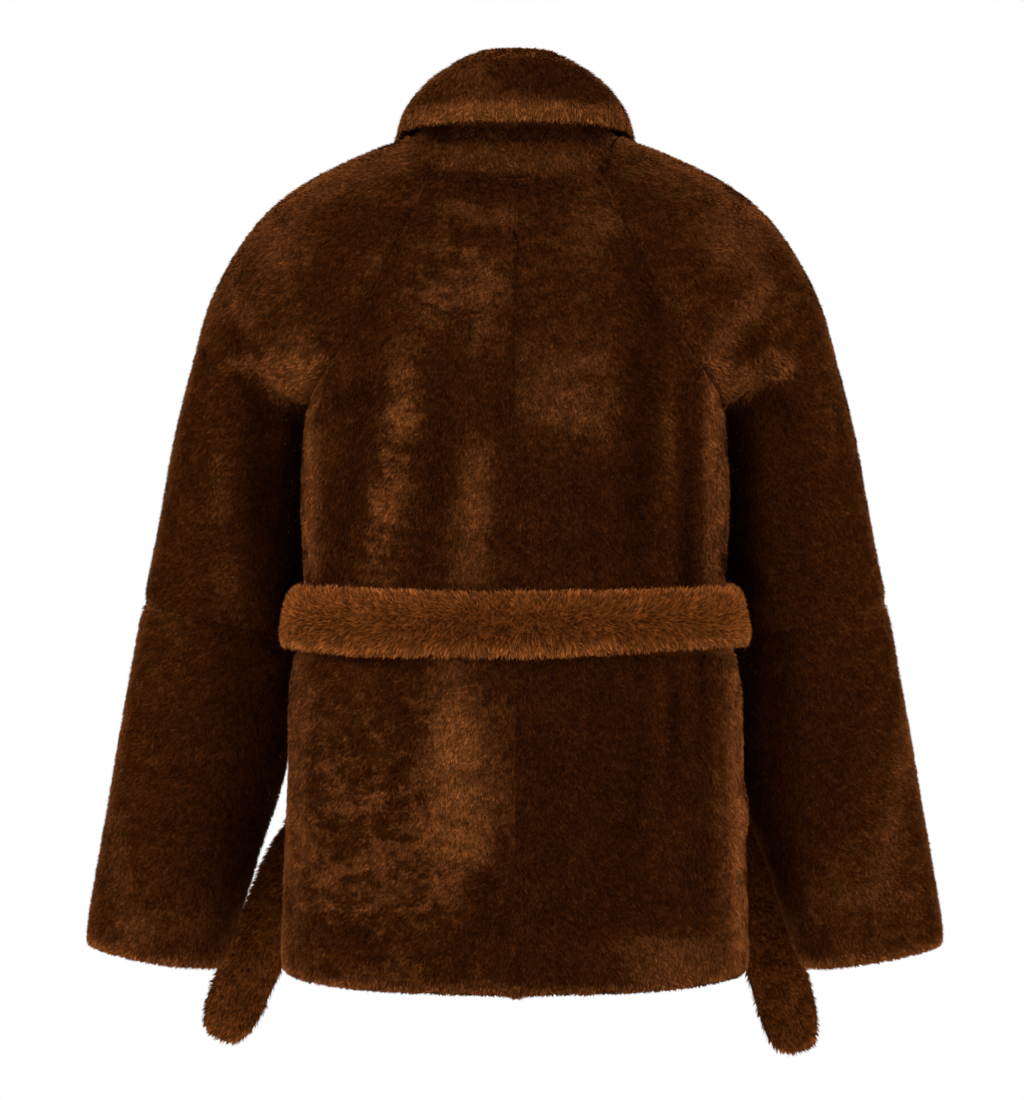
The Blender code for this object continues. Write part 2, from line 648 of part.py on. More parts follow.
def knot():
    """The knot, a rounded block against the belt's front."""
    seat = smooth(BODY, BELT_HEIGHTS[1]).front + BELT_CLEAR + BELT_THICK
    centre = np.array([0, -seat - KNOT_HALF[1], KNOT_HEIGHT])
    power = 2 / KNOT_SQUARENESS
    rings = []
    for tilt in np.linspace(-pi / 2, pi / 2, KNOT_RINGS + 2)[1:-1]:
        ring = []
        for turn in np.arange(KNOT_SIDES) * 2 * pi / KNOT_SIDES:
            spot = np.array([sin(tilt), cos(tilt) * cos(turn), cos(tilt) * sin(turn)])
            ring.append(centre + KNOT_HALF * np.sign(spot) * abs(spot) ** power)
        rings.append(ring)
    return strap(rings, closed=False)


# A belt end's section: shares of its half width and of its half thickness.
TAIL_SECTION = ((-1, 0), (-0.86, 0.7), (-0.45, 1), (0.45, 1), (0.86, 0.7))
TAIL_SECTION += tuple((-across, -deep) for across, deep in TAIL_SECTION)


def tail(stations):
    """A belt end, hanging from the knot."""
    rings = []
    for station in stations:
        turn = radians(station.turn)
        wide = station.half_width * np.array([cos(turn), 0, sin(turn)])
        centre = np.array([station.x, station.y, station.z])
        rings.append([centre + a * wide + d * TAIL_THICK / 2 * Y for a, d in TAIL_SECTION])
    return strap(rings, closed=False)


def add_piece(name, vertices, triangles, finish):
    """One solid of the coat, with its own material."""
    mesh = bpy.data.meshes.new(name)
    points = [tuple(MM * value for value in vertex) for vertex in vertices]
    mesh.from_pydata(points, [], [tuple(face) for face in triangles])
    shape = bmesh.new()
    shape.from_mesh(mesh)
    if shape.calc_volume(signed=True) < 0:
        bmesh.ops.reverse_faces(shape, faces=shape.faces)
    shape.to_mesh(mesh)
    shape.free()
    mesh.shade_smooth()
    mesh.set_sharp_from_angle(angle=radians(50))
    mesh.materials.append(finish)
    piece = bpy.data.objects.new(name, mesh)
    bpy.context.scene.collection.objects.link(piece)
    return piece


def add_finish(name, finish):
    material = bpy.data.materials.new(name)
    material.use_nodes = True
    shader = material.node_tree.nodes["Principled BSDF"]
    shader.inputs["Base Color"].default_value = (*finish.colour, 1)
    shader.inputs["Roughness"].default_value = finish.roughness
    shader.inputs["Metallic"].default_value = 0
    return material


def build():
    for old in list(bpy.data.objects):
        bpy.data.objects.remove(old)
    finishes = {name: add_finish(name, finish) for name, finish in FINISHES.items()}
    panels = {}
    for side, word in ((LEFT, "left"), (RIGHT, "right")):
        for face in ("back", "front"):
            panels[(face, side)] = body_panel(f"{face}_{word}", side, face)
        upper, lower = f"sleeve_upper_{word}", f"sleeve_lower_{word}"
        panels[("sleeve_upper", side)] = sleeve_panel(upper, side, UPPER_ARM_RUNS, CAP_SHARES)
        panels[("sleeve_lower", side)] = sleeve_panel(lower, side, LOWER_ARM_RUNS, ())
    normals = shared_normals(panels.values())
    for panel in panels.values():
        add_piece(panel.name, *wall(panel, normals), finishes["coat_fur"])
    add_piece("collar", *collar(panels, normals), finishes["coat_fur"])
    add_piece("belt", *belt(), finishes["belt_fur"])
    add_piece("belt_knot", *knot(), finishes["belt_fur"])
    for name, stations in TAILS.items():
        add_piece(name, *tail(stations), finishes["belt_fur"])


build()
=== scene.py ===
# %% [markdown]
# # A belted shearling coat, worn fur side out
# The coat is lambskin: one skin, suede on the inside and clipped wool, the pile, on the outside.
# It is filled out as if someone wore it. Every panel already exists as a plain solid in the
# frame, and this notebook dresses each one: a smooth copy of it becomes the skin, and thousands of
# small locks of wool standing on that skin become the pile.

# %% The frame
import json
from collections import namedtuple
from math import pi, radians

import bpy
import numpy as np
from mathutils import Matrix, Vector, noise
from mathutils.bvhtree import BVHTree

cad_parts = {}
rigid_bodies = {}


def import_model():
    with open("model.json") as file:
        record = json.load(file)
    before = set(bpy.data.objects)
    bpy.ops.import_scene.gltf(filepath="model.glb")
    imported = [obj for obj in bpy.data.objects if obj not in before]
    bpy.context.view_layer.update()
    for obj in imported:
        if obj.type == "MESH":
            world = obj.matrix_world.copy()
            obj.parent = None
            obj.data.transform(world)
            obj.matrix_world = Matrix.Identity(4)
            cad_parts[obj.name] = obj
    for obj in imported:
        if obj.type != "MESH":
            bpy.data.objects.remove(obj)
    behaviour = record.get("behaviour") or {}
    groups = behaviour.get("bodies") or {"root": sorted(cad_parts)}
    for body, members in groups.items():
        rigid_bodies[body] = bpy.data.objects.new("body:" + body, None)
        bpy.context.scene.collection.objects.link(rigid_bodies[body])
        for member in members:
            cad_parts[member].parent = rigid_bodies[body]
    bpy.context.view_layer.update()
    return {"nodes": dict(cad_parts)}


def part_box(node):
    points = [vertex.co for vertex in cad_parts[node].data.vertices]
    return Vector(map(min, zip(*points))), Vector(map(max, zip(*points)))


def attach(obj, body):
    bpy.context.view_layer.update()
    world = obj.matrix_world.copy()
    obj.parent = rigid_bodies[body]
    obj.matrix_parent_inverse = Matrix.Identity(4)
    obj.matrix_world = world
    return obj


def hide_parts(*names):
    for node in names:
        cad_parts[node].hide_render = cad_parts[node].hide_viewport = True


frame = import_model()
print("nodes:", sorted(frame["nodes"]))

MM = 0.001
X, Y, Z = np.eye(3)


def unit(vectors):
    """Each vector of an array, made 1 long."""
    return vectors / np.maximum(np.linalg.norm(vectors, axis=-1, keepdims=True), 1e-9)


def dot(first, second):
    """The products of two arrays of vectors, row by row, as a column."""
    return (first * second).sum(axis=-1, keepdims=True)


# %% [markdown]
# ## Camera, floor and light
# The coat is looked at straight from behind, from a few metres away, from just above its waist.
# A pale round floor lies below it. A bright even sky is the studio's white walls. A large soft
# lamp at the upper left shapes the folds, a weaker one fills the other side, and two lamps at
# its sides draw the thin warm line that a pile shows along its edges.

# %% The camera
bpy.context.scene.view_settings.view_transform = "Standard"
CAMERA_AWAY = 3.2
VIEW_HEIGHT = 0.913  # what the camera sees from top to bottom at the coat
VIEW_X, VIEW_Z = 0.0025, -0.328  # the middle of what it sees
SENSOR_WIDTH = 36

bpy.ops.object.camera_add(location=(VIEW_X, CAMERA_AWAY, VIEW_Z), rotation=(pi / 2, 0, pi))
camera = bpy.context.object
camera.data.sensor_width = SENSOR_WIDTH
camera.data.lens = camera.data.sensor_width * CAMERA_AWAY / VIEW_HEIGHT
bpy.context.scene.camera = camera

# %% The floor
FLOOR_RADIUS, FLOOR_Z = 2.4, -1.15
FLOOR_SURFACE = {"Base Color": (0.9, 0.9, 0.9, 1), "Roughness": 1}


def set_inputs(node, values):
    """Sets a node's inputs from their names."""
    for name, value in values.items():
        node.inputs[name].default_value = value


def new_material(name, surface):
    """A material whose surface has these values, its node tree and its shader."""
    material = bpy.data.materials.new(name)
    material.use_nodes = True
    shader = material.node_tree.nodes["Principled BSDF"]
    set_inputs(shader, surface)
    return material, material.node_tree, shader


bpy.ops.mesh.primitive_circle_add(
    vertices=96, radius=FLOOR_RADIUS, fill_type="NGON", location=(0, 0, FLOOR_Z)
)
floor = bpy.context.object
floor.name = "floor"
floor.data.materials.append(new_material("studio_white", FLOOR_SURFACE)[0])

# %% The lights
world = bpy.data.worlds.new("studio")
world.use_nodes = True
set_inputs(world.node_tree.nodes["Background"], {"Color": (1, 1, 1, 1), "Strength": 1.0})
bpy.context.scene.world = world

Lamp = namedtuple("Lamp", "name place size power")
LAMPS = (
    Lamp("key", (1.3, 2.2, 1.6), 1.4, 75),
    Lamp("fill", (-1.8, 2.4, 0.2), 1.6, 20),
    Lamp("rim_left", (2.2, 0.1, 0.7), 0.9, 40),
    Lamp("rim_right", (-2.2, 0.1, 0.7), 0.9, 45),
)
LAMPS_AIM = (0, 0, -0.35)
for lamp in LAMPS:
    aim = Vector(LAMPS_AIM) - Vector(lamp.place)
    turn = aim.to_track_quat("-Z", "Y").to_euler()
    bpy.ops.object.light_add(type="AREA", location=lamp.place, rotation=turn)
    light = bpy.context.object
    light.name = lamp.name
    light.data.size = lamp.size
    light.data.energy = lamp.power

# %% [markdown]
# ## Painted light and shade, and folds
# Wool that leans towards the light looks pale and wool that leans away looks dark. On a worn coat
# hands and folds have brushed it every way. This light and shade is painted into the wool's colour,
# and so is that of the folds: a fold's ridge is painted pale, and a crease and what lies in another
# part's shadow are painted dark. A texture image can't be changed by a number, so each painted
# place is a row of this table, under the piece and the face it is on: its middle, its turn from
# upright in degrees, its half width and half length, how pale it is painted, how far it stands
# proud where it is a fold, and how stirred up the wool is. Lengths are in millimetres. A painted
# shade is below 0, and so is a crease. Wool brushed one way is smooth, and stirred wool shows small
# pale and dark patches.
# Light passes through the wool at a hem, a cuff or the collar's fold, and this glow is painted in
# as a paler colour there.

# %% Painted light and shade, and folds
Brush = namedtuple("Brush", "on face x z turn wide long pale lift stir", defaults=(0.0, 0.0))
# Painted highlights and painted shade, with the folds' lifts, for each piece and face.
PAINTED_LIGHT_AND_FOLDS = {
    ("back_left", "back"): (
        (99, -266, 9, 14, 88, 0.85, 0.8, 1.7),
        (130, -270, 8, 12, 90, -0.85, -0.8),
        (166, -278, 0, 7, 90, 0.7),
        (64, -262, 7, 14, 95, -0.85, -0.8),
        (32, -298, 4, 15, 56, 0.8, 0.8, 0.3),
        (12, -245, 0, 12, 95, -0.35),
        (44, -120, 20, 40, 36, 0.45, 0.0, 0.8),
        (30, -32, 12, 36, 7, -0.6, -0.6),
        (14, -60, 76, 7, 26, 0.5, 1.0),
        (46, -50, 104, 6, 20, 0.5, 1.0),
        (34, -72, 82, 6, 22, -0.5, -1.0),
        (30, -98, 98, 5, 24, -0.4, -0.7),
        (116, -125, 25, 20, 44, -0.6),
        (78, -48, 0, 14, 26, -0.3),
        (46, -450, -3, 17, 50, 0.6, 0.8),
        (46, -528, 3, 26, 66, 1.3, 0.5, 0.3),
        (98, -462, 8, 26, 56, -0.5, -0.8, 0.4),
        (116, -560, 0, 76, 110, 0.15, 0.0, 0.9),
        (132, -596, -30, 28, 34, 0.2),
        (138, -208, 62, 9, 34, -0.5),
        (172, -544, 0, 8, 110, 0.35),
        (24, -612, 0, 22, 30, -0.9, 0.0, 0.4),
        (136, -632, 0, 30, 14, -0.6, 0.0, 0.4),
        (60, -652, 0, 40, 12, -0.4, 0.0, 0.4),
        (171, -270, 0, 6, 100, 0.35),
        (173, -409, 0, 9, 14, 0.0, 4.0),
    ),
    ("back_right", "back"): (
        (-24, -34, 0, 24, 7, -0.4),
        (-48, -200, 12, 38, 36, 0.55, 0.0, 0.5),
        (-102, -244, 2, 17, 112, -1.2, -0.8),
        (-121, -232, -2, 9, 58, 0.6, 0.6),
        (-140, -285, 0, 10, 85, -1.1, -1.2),
        (-159, -258, 0, 8, 100, 0.8, 0.6),
        (-48, -300, 0, 42, 50, -0.5),
        (-68, -72, 30, 22, 30, 0.3),
        (-102, -118, -25, 15, 44, -0.6),
        (-60, -544, 0, 74, 140, -0.85),
        (-99, -480, 4, 8, 80, -0.4),
        (-114, -500, 2, 6, 90, 0.3),
        (-128, -468, 2, 5, 60, -0.8, -0.8),
        (-166, -540, 0, 14, 130, 0.3),
        (-139, -338, -13, 5, 26, -0.9, -1.0),
        (-151, -424, 0, 5, 22, -0.9, -1.0),
        (-152, -528, 0, 9, 120, -0.5, -1.0),
        (-182, -540, 0, 7, 145, 1.3),
        (-116, -655, 8, 56, 20, 0.9),
        (-46, -520, 0, 12, 90, 0.25),
        (-168, -235, 0, 7, 120, 0.5),
        (-186, -570, 0, 6, 140, 0.4, 1.5),
        (-173, -409, 0, 9, 14, 0.0, 4.0),
        (-186, -542, 0, 8, 16, 0.0, 4.0),
    ),
    # On the collar, the fold's lower edge is painted pale as a highlight, and the stand just below
    # it is painted dark as the fold's shadow.
    ("collar", "back"): (
        (0, 28, 0, 105, 8, 1.2),
        (-22, 58, 0, 36, 15, -0.6),
        (-62, 42, -30, 16, 7, -0.4),
        (40, 52, -35, 30, 22, 0.3),
        (0, -8, 0, 90, 14, 0.6),
        (10, -26, 6, 44, 5, -0.6),
        (0, 11, 0, 90, 6, -0.35),
    ),
    ("sleeve_upper_left", "back"): (
        (209, -152, -31, 13, 50, 0.7, 2.0),
        (211, -245, 1, 14, 95, -1.1, -1.5),
        (237, -312, -3, 16, 80, 0.4, 0.8),
        (201, -70, -48, 30, 44, 0.4),
        (228, -168, -10, 9, 26, -0.6, -1.2),
        (196, -242, 0, 10, 15, 0.5, 1.5),
        (188, -300, 0, 12, 70, -1.0),
        (143, -86, 28, 16, 46, -0.4),
        (173, -172, -8, 9, 26, 0.5, 1.0),
        (250, -300, 0, 80, 160, -0.22),
    ),
    ("sleeve_upper_right", "back"): (
        (-184, -139, 37, 11, 38, 0.8, 2.0),
        (-205, -186, -29, 12, 48, -0.8, -1.5),
        (-186, -62, 44, 28, 42, 0.45),
        (-256, -225, 2, 14, 90, 0.2),
        (-189, -268, 0, 14, 80, -1.0),
        (-192, -344, -39, 6, 28, -0.9, -1.8),
        (-203, -334, -39, 6, 26, 0.4, 1.2),
        (-234, -303, 0, 16, 70, -0.2, -0.6),
        (-140, -88, -30, 16, 40, -0.2),
        (-250, -300, 0, 80, 160, -0.22),
    ),
    ("sleeve_lower_left", "back"): (
        (270, -530, -8, 40, 100, -0.3),
        (232, -440, -8, 20, 66, -0.8),
        (226, -580, -10, 22, 70, -0.7),
        (334, -582, -12, 10, 84, 0.3),
        (272, -500, 84, 4, 44, 0.35, 0.8),
        (276, -514, 87, 4, 36, -0.3, -0.8),
        (292, -640, 80, 14, 46, 0.35),
    ),
    ("sleeve_lower_right", "back"): (
        (-222, -455, 6, 18, 90, -0.8),
        (-270, -480, 8, 40, 80, -0.3),
        (-284, -612, 96, 24, 42, 0.25),
        (-318, -535, 12, 11, 84, 0.4),
        (-220, -600, 8, 14, 60, -0.5),
        (-266, -520, 8, 14, 60, -0.25),
    ),
    ("belt_end_left", "back"): (
        (252, -712, 18, 16, 40, 0.35, 0.0, 0.8),
        (222, -640, 18, 20, 40, -0.2, 0.0, 0.8),
        (224, -586, 18, 12, 24, 0.0, 4.0),
    ),
    ("belt_end_right", "back"): (
        (-226, -700, -18, 26, 60, -0.35, 0.0, 0.8),
        (-196, -575, -18, 7, 48, 0.9, 5.0),
        (-204, -660, 0, 60, 110, -0.6),
        (-196, -560, 18, 10, 26, 0.0, 4.0),
    ),
    ("front_left", "front"): (
        (76, -230, 2, 14, 90, 0.8, 0.8),
        (112, -270, 0, 14, 80, -0.7, -0.8),
        (148, -260, 0, 14, 90, 0.4),
        (60, -500, -8, 20, 80, 0.7, 0.8),
        (110, -560, 6, 24, 90, -0.6, -0.8),
    ),
    ("front_right", "front"): (
        (-62, -240, -3, 16, 90, 0.6, 0.8),
        (-104, -280, 0, 14, 80, -0.7, -0.8),
        (-20, -330, 8, 12, 50, -0.5, -0.8),
        (-50, -520, 10, 30, 90, 0.5, 0.8),
        (-118, -540, -4, 20, 90, -0.6, -0.8),
        (30, -610, 0, 24, 50, -0.4),
    ),
    ("collar", "front"): (
        (74, -60, 20, 16, 40, 0.6),
        (-74, -60, -20, 16, 40, 0.6),
        (34, -130, 25, 14, 36, -0.5),
        (-40, -120, -25, 14, 36, -0.4),
    ),
    ("sleeve_upper_left", "front"): (
        (236, -265, 50, 12, 44, -0.6, -1.2),
        (240, -330, 66, 12, 46, 0.6, 1.2),
    ),
    ("sleeve_upper_right", "front"): (
        (-232, -270, -48, 12, 44, -0.6, -1.2),
        (-240, -335, -62, 12, 46, 0.5, 1.2),
    ),
    ("sleeve_lower_left", "front"): (
        (270, -470, 70, 12, 46, -0.5, -1.0),
        (290, -570, 10, 18, 80, 0.4),
    ),
    ("sleeve_lower_right", "front"): (
        (-276, -480, -66, 12, 46, -0.5, -1.0),
        (-290, -590, -10, 18, 70, 0.4),
    ),
}
# Painted shade along the belt's middle and painted highlights along its upper and lower edges.
BELT_PAINTED_LIGHT = [
    Brush("belt", face, 0, z, 0, 600, long, pale)
    for face in ("back", "front")
    for z, long, pale in ((-387, 12, -0.4), (-360, 6, 0.5), (-414, 7, 0.6))
]
# Full wool between the sleeves and the body leaves no gap there.
INNER_SLEEVES = [
    Brush(sleeve, face, x, z, 0, wide, long, 0.0, lift)
    for face in ("back", "front")
    for sleeve, x, z, wide, long, lift in (
        ("sleeve_upper_left", 177, -350, 11, 26, 7.5),
        ("sleeve_upper_right", -177, -350, 11, 26, 7.5),
        ("sleeve_upper_left", 175, -405, 13, 20, 6.0),
        ("sleeve_upper_right", -175, -405, 13, 20, 6.0),
        ("sleeve_lower_left", 179, -417, 12, 24, 6.0),
        ("sleeve_lower_right", -179, -417, 12, 24, 6.0),
        ("sleeve_lower_left", 196, -520, 15, 90, 4.5),
        ("sleeve_lower_right", -194, -530, 15, 78, 8.0),
    )
]
ALL_LIGHT_AND_FOLDS = [Brush(*place, *row) for place, rows in PAINTED_LIGHT_AND_FOLDS.items() for row in rows]
ALL_LIGHT_AND_FOLDS += BELT_PAINTED_LIGHT + INNER_SLEEVES
print("brushed places:", len(ALL_LIGHT_AND_FOLDS))

# %% How pale, proud and stirred a point is
RIM_GLOW, SIDE_HIGHLIGHT, TOP_HIGHLIGHT = 1.4, 1.2, 0.8  # a painted glow by a rim, a painted highlight on the sides and one on what faces up
SIDE_FADE = 1.8  # how soon the painted side highlight ends as a face turns to the back or the front
TOP_FADE, TOP_START = 2.5, 1.4  # the same for what faces up, and where it starts
FACE_FADE = 4  # how soon a painted place or fold ends where its face turns away
RIM_NEAR = 7 * MM
RIM_REACH = 4 * RIM_NEAR  # past this, a rim makes nothing paler
RIM_TURN = -0.6  # a rim's face looks down more than this


def painted_light_and_folds(on, points, normals):
    """How pale each point is painted as light and shade, how far a fold lifts it, and how stirred
    it is, as columns.
    """
    pale, lift, stir = np.zeros((3, len(points), 1))
    # Painted highlights on the sides, as the back and the front are seen, and on what faces up.
    pale[:, 0] += SIDE_HIGHLIGHT * np.clip(1 - SIDE_FADE * np.abs(normals[:, 1]), 0, 1)
    pale[:, 0] += TOP_HIGHLIGHT * np.clip(TOP_FADE * normals[:, 2] - TOP_START, 0, 1)
    for mark in (b for b in ALL_LIGHT_AND_FOLDS if b.on == on):
        turn = radians(mark.turn)
        offset = points[:, [0, 2]] / MM - [mark.x, mark.z]
        wide = (offset @ [np.cos(turn), np.sin(turn)]) / mark.wide
        long = (offset @ [-np.sin(turn), np.cos(turn)]) / mark.long
        facing = normals[:, 1] * (1 if mark.face == "back" else -1)
        share = np.exp(-(wide**2) - long**4) * np.clip(facing * FACE_FADE + 0.5, 0, 1)
        pale[:, 0] += mark.pale * share
        lift[:, 0] += mark.lift * MM * share
        stir[:, 0] += mark.stir * share
    return pale, lift, stir


def painted_rim_glow(skin, seam, points):
    """How pale each point is painted, as a glow of light through the wool, for being close to a
    hem, a cuff or another edge that faces down.
    """
    places = [vertex.co.copy() for vertex in skin.data.vertices]
    rims = [
        face.vertices[:]
        for face, joined in zip(skin.data.polygons, seam)
        if face.normal.z < RIM_TURN and not joined
    ]
    if not rims:
        return np.zeros((len(points), 1))
    rim = BVHTree.FromPolygons(places, rims)
    away = [rim.find_nearest(Vector(point), RIM_REACH)[3] or RIM_REACH for point in points]
    return RIM_GLOW * np.exp(-((np.array(away)[:, None] / RIM_NEAR) ** 2))


def note(mesh, name, values):
    """Keeps one number for each of a mesh's points, for the finish to read."""
    mesh.attributes.new(name, "FLOAT", "POINT").data.foreach_set("value", values.ravel())


# %% [markdown]
# ## The skin
# A panel is a curved wall. Its solid has few and flat faces, so the copy's loose triangles are
# merged and joined to four-sided faces first, and a subdivision surface then rounds them.
# Dissolving and remeshing would lose the seams' places, so the faces are kept and only halved.

# %% A smooth copy of a solid
MERGE_NEAR = 0.05 * MM
JOIN_BEND, JOIN_SKEW = radians(50), radians(60)  # how bent and how skewed a joined face may be
SHARP_TURN, SHARP_HOLD = radians(70), 0.7  # what is a sharp edge, and how well rounding keeps it


def smooth_copy(node, levels):
    """A rounded copy of a node's solid, whose faces are halved that many times."""
    bpy.ops.object.select_all(action="DESELECT")
    source = frame["nodes"][node]
    source.select_set(True)
    bpy.context.view_layer.objects.active = source
    bpy.ops.object.duplicate()
    bpy.ops.object.parent_clear(type="CLEAR_KEEP_TRANSFORM")
    skin = bpy.context.object
    skin.name = skin.data.name = f"skin_{node}"
    for key in [key for key in skin.keys() if key.startswith("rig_")]:
        del skin[key]
    skin.data.materials.clear()
    bpy.ops.object.mode_set(mode="EDIT")
    bpy.ops.mesh.select_all(action="SELECT")
    bpy.ops.mesh.remove_doubles(threshold=MERGE_NEAR)
    bpy.ops.mesh.tris_convert_to_quads(face_threshold=JOIN_BEND, shape_threshold=JOIN_SKEW)
    bpy.ops.mesh.select_all(action="DESELECT")
    bpy.ops.mesh.edges_select_sharp(sharpness=SHARP_TURN)
    bpy.ops.transform.edge_crease(value=SHARP_HOLD)
    bpy.ops.object.mode_set(mode="OBJECT")
    rounding = skin.modifiers.new("rounding", "SUBSURF")
    rounding.levels = rounding.render_levels = levels
    bpy.ops.object.modifier_apply(modifier=rounding.name)
    bpy.ops.object.shade_smooth()
    return skin


# %% [markdown]
# Pile grows on the outer side only, and nowhere that another piece covers. Whether a face is on
# the outside is found from the middle line of the body or the sleeve. A face within a hair of
# another piece is a seam's edge, and one that a short ray finds covered lies under the belt or
# the collar.

# %% Which faces are furred
SEAM_NEAR = 1.5 * MM
SEAM_FACING = 0.5  # how squarely a seam's face looks at its neighbour
SLICES = 14
WAY_OUT = (1, 1, 0.4)  # how much each direction counts in the way out from a middle line
LEAST_OUT = -0.15  # how far an outer face may turn from the way out
RAY_START = 0.2 * MM


def middle_line(nodes, down):
    """Where the middle of a hollow form is, at several distances down it."""
    points = np.array([v.co[:] for n in nodes for v in frame["nodes"][n].data.vertices])
    along = points @ down
    edges = np.linspace(along.min(), along.max(), SLICES + 1)
    slices = [points[(along >= a) & (along <= b)] for a, b in zip(edges, edges[1:])]
    spots = np.array([(s.min(axis=0) + s.max(axis=0)) / 2 for s in slices])
    return down, (edges[:-1] + edges[1:]) / 2, spots


def column(items, key, width=3):
    """One attribute of all of a mesh's items, as rows of that many numbers."""
    values = np.zeros(len(items) * width, np.float32)
    items.foreach_get(key, values)
    return values.reshape(-1, width).astype(float)


def other_solids(node):
    """All the solids but one, as one shape that rays and distances can be taken to."""
    points, faces = [], []
    for name, other in frame["nodes"].items():
        if name != node:
            faces += [[len(points) + v for v in face.vertices] for face in other.data.polygons]
            points += [vertex.co.copy() for vertex in other.data.vertices]
    return BVHTree.FromPolygons(points, faces)


def sort_faces(skin, node, line, clear):
    """For each face, whether it is on the outside, furred, and the edge of a seam."""
    centres = column(skin.data.polygons, "center")
    normals = column(skin.data.polygons, "normal")
    outside = np.ones(len(centres), bool)
    if line:
        down, middles, spots = line
        along = centres @ down
        middle = np.stack([np.interp(along, middles, spots[:, k]) for k in range(3)], axis=1)
        outside = dot(normals, unit((centres - middle) * WAY_OUT))[:, 0] > LEAST_OUT
    furred, seam = outside.copy(), np.zeros(len(centres), bool)
    others = other_solids(node)
    for n, (centre, normal) in enumerate(zip(map(Vector, centres), map(Vector, normals))):
        spot, _, _, distance = others.find_nearest(centre)
        seam[n] = distance < SEAM_NEAR and (spot - centre).dot(normal) > SEAM_FACING * distance
        hit = others.ray_cast(centre + RAY_START * normal, normal, clear)
        furred[n] &= not seam[n] and hit[0] is None
    return outside | seam, furred, seam


# %% [markdown]
# The pile reaches as far as the solid does, so its roots lie below the solid's face. At a seam the
# solids dip, but there the wool of both sides meets and fills the dip, so the skin is raised to it.
# The seam's own faces are pushed against their neighbour, so that no light comes through.

# %% Fitting the skin under the pile
ROOT_DEPTH = 1.5 * MM
SEAM_FILL = 0.8 * MM
SEAM_PRESS = 0.35 * MM


def fit_skin(skin, node, furred, seam):
    """Moves the skin's points, and gives the way the wool stands up at each one."""
    points = column(skin.data.vertices, "co")
    normals = column(skin.data.polygons, "normal")
    outward, sideways = np.zeros((2, len(points), 3))
    for face, grows, edge, normal in zip(skin.data.polygons, furred, seam, normals):
        if grows or edge:
            (outward if grows else sideways)[list(face.vertices)] += face.area * normal
    at_seam = (np.linalg.norm(sideways, axis=1) > 0)[:, None]
    outward, sideways = unit(outward), unit(sideways)
    pale, lift, stir = painted_light_and_folds(node, points, outward)
    move = np.where(at_seam, SEAM_FILL, lift - ROOT_DEPTH) * outward
    move += SEAM_PRESS * sideways
    skin.data.vertices.foreach_set("co", (points + move).ravel())
    # The painted light and shade is kept on the skin for its finish.
    note(skin.data, "painted_light_and_shade", pale)
    note(skin.data, "stir", stir)
    skin.data.update()
    return outward


# %% [markdown]
# ## The pile
# Each lock is one slim triangle, the cheapest shape that still has a root and a tip. They are
# scattered evenly over the furred faces and joined into one mesh for each panel, worked out from
# arrays, because nearly a million separate objects would be too slow. Neighbours lean together into
# tufts, as wool does, and swirl a little off the way they are combed. A texture map keeps how far
# up its lock a point is, and how pale the lock is among its neighbours.

# %% Tufts
Pile = namedtuple("Pile", "spacing length width lean tuft gather clear")
COAT_PILE = Pile(1.26 * MM, 3.6 * MM, 1.4 * MM, 58, 3.6 * MM, 0.3, 4 * MM)
BELT_PILE = Pile(1.30 * MM, 5.2 * MM, 1.35 * MM, 55, 4.6 * MM, 0.4, 1 * MM)
# Numbers without a pattern, which turn a cell's place into a chance that is always the same.
SPIN = np.array([[127.1, 269.5, 419.2], [311.7, 183.3, 371.9], [74.7, 246.1, 113.5]])
SCRAMBLE = 43758.5453


def tufts(points, size):
    """The middle of the tuft that each point belongs to, and a number from 0 to 1 for it."""
    cells = np.floor(points / size)
    nearest = np.full((len(points), 1), np.inf)
    middle, own = np.zeros_like(points), np.zeros((len(points), 1))
    for way in np.ndindex(3, 3, 3):
        cell = cells + way - 1
        chance = np.sin(cell @ SPIN) * SCRAMBLE
        chance -= np.floor(chance)
        spot = (cell + chance) * size
        away = dot(points - spot, points - spot)
        closer = away < nearest
        nearest = np.where(closer, away, nearest)
        middle = np.where(closer, spot, middle)
        own = np.where(closer, chance[:, :1], own)
    return middle, own


# %% Scattering roots


def scatter(skin, outward, furred, spacing, draw):
    """Roots spread over a skin's furred faces: their places and the ways they stand up."""
    mesh = skin.data
    mesh.calc_loop_triangles()
    corners = column(mesh.loop_triangles, "vertices").astype(int)
    owner = column(mesh.loop_triangles, "polygon_index", 1).astype(int)[:, 0]
    corners = corners[furred[owner]]
    points = column(mesh.vertices, "co")
    a, b, c = (points[corners[:, k]] for k in range(3))
    area = np.linalg.norm(np.cross(b - a, c - a), axis=1) / 2
    count = int(area.sum() / spacing**2)
    on = draw.choice(len(area), count, p=area / area.sum())
    u, v = draw.random((2, count, 1))
    u, v = np.where(u + v > 1, [1 - u, 1 - v], [u, v])
    first, second, third = (corners[on, k] for k in range(3))
    place = points[first] + u * (points[second] - points[first])
    place += v * (points[third] - points[first])
    up = outward[first] * (1 - u - v) + outward[second] * u + outward[third] * v
    return place, unit(up)


# %% Growing the locks
SWIRLS = ((16 * MM, 0.8), (60 * MM, 0.6))  # how wide a swirl is, and how strong
SWIRL_SEED = 1  # any number but 0, which would take the clock's time instead
noise.seed_set(SWIRL_SEED)
LEAST_FIRM = 0.5  # the share of its lean that wool keeps where it is hardly combed
LEAN_SPREAD, LEAST_LEAN, MOST_LEAN = 8, 8, 74  # in degrees from the way the wool stands up
STRAY_OUT, STRAY_ACROSS = 0.10, 0.15  # how far single locks stray from their neighbours' ways
WIDTHS, LENGTHS = (0.7, 1.3), (0.75, 1.15)  # the least and the greatest, as shares
SHADE_UP = 0.85  # how much of a lock's shading direction is the skin's own
TUFT_PALE = 0.3  # how much of a lock's paleness it shares with its tuft
FEW_PALE = 2.5  # the higher, the fewer of the locks are pale


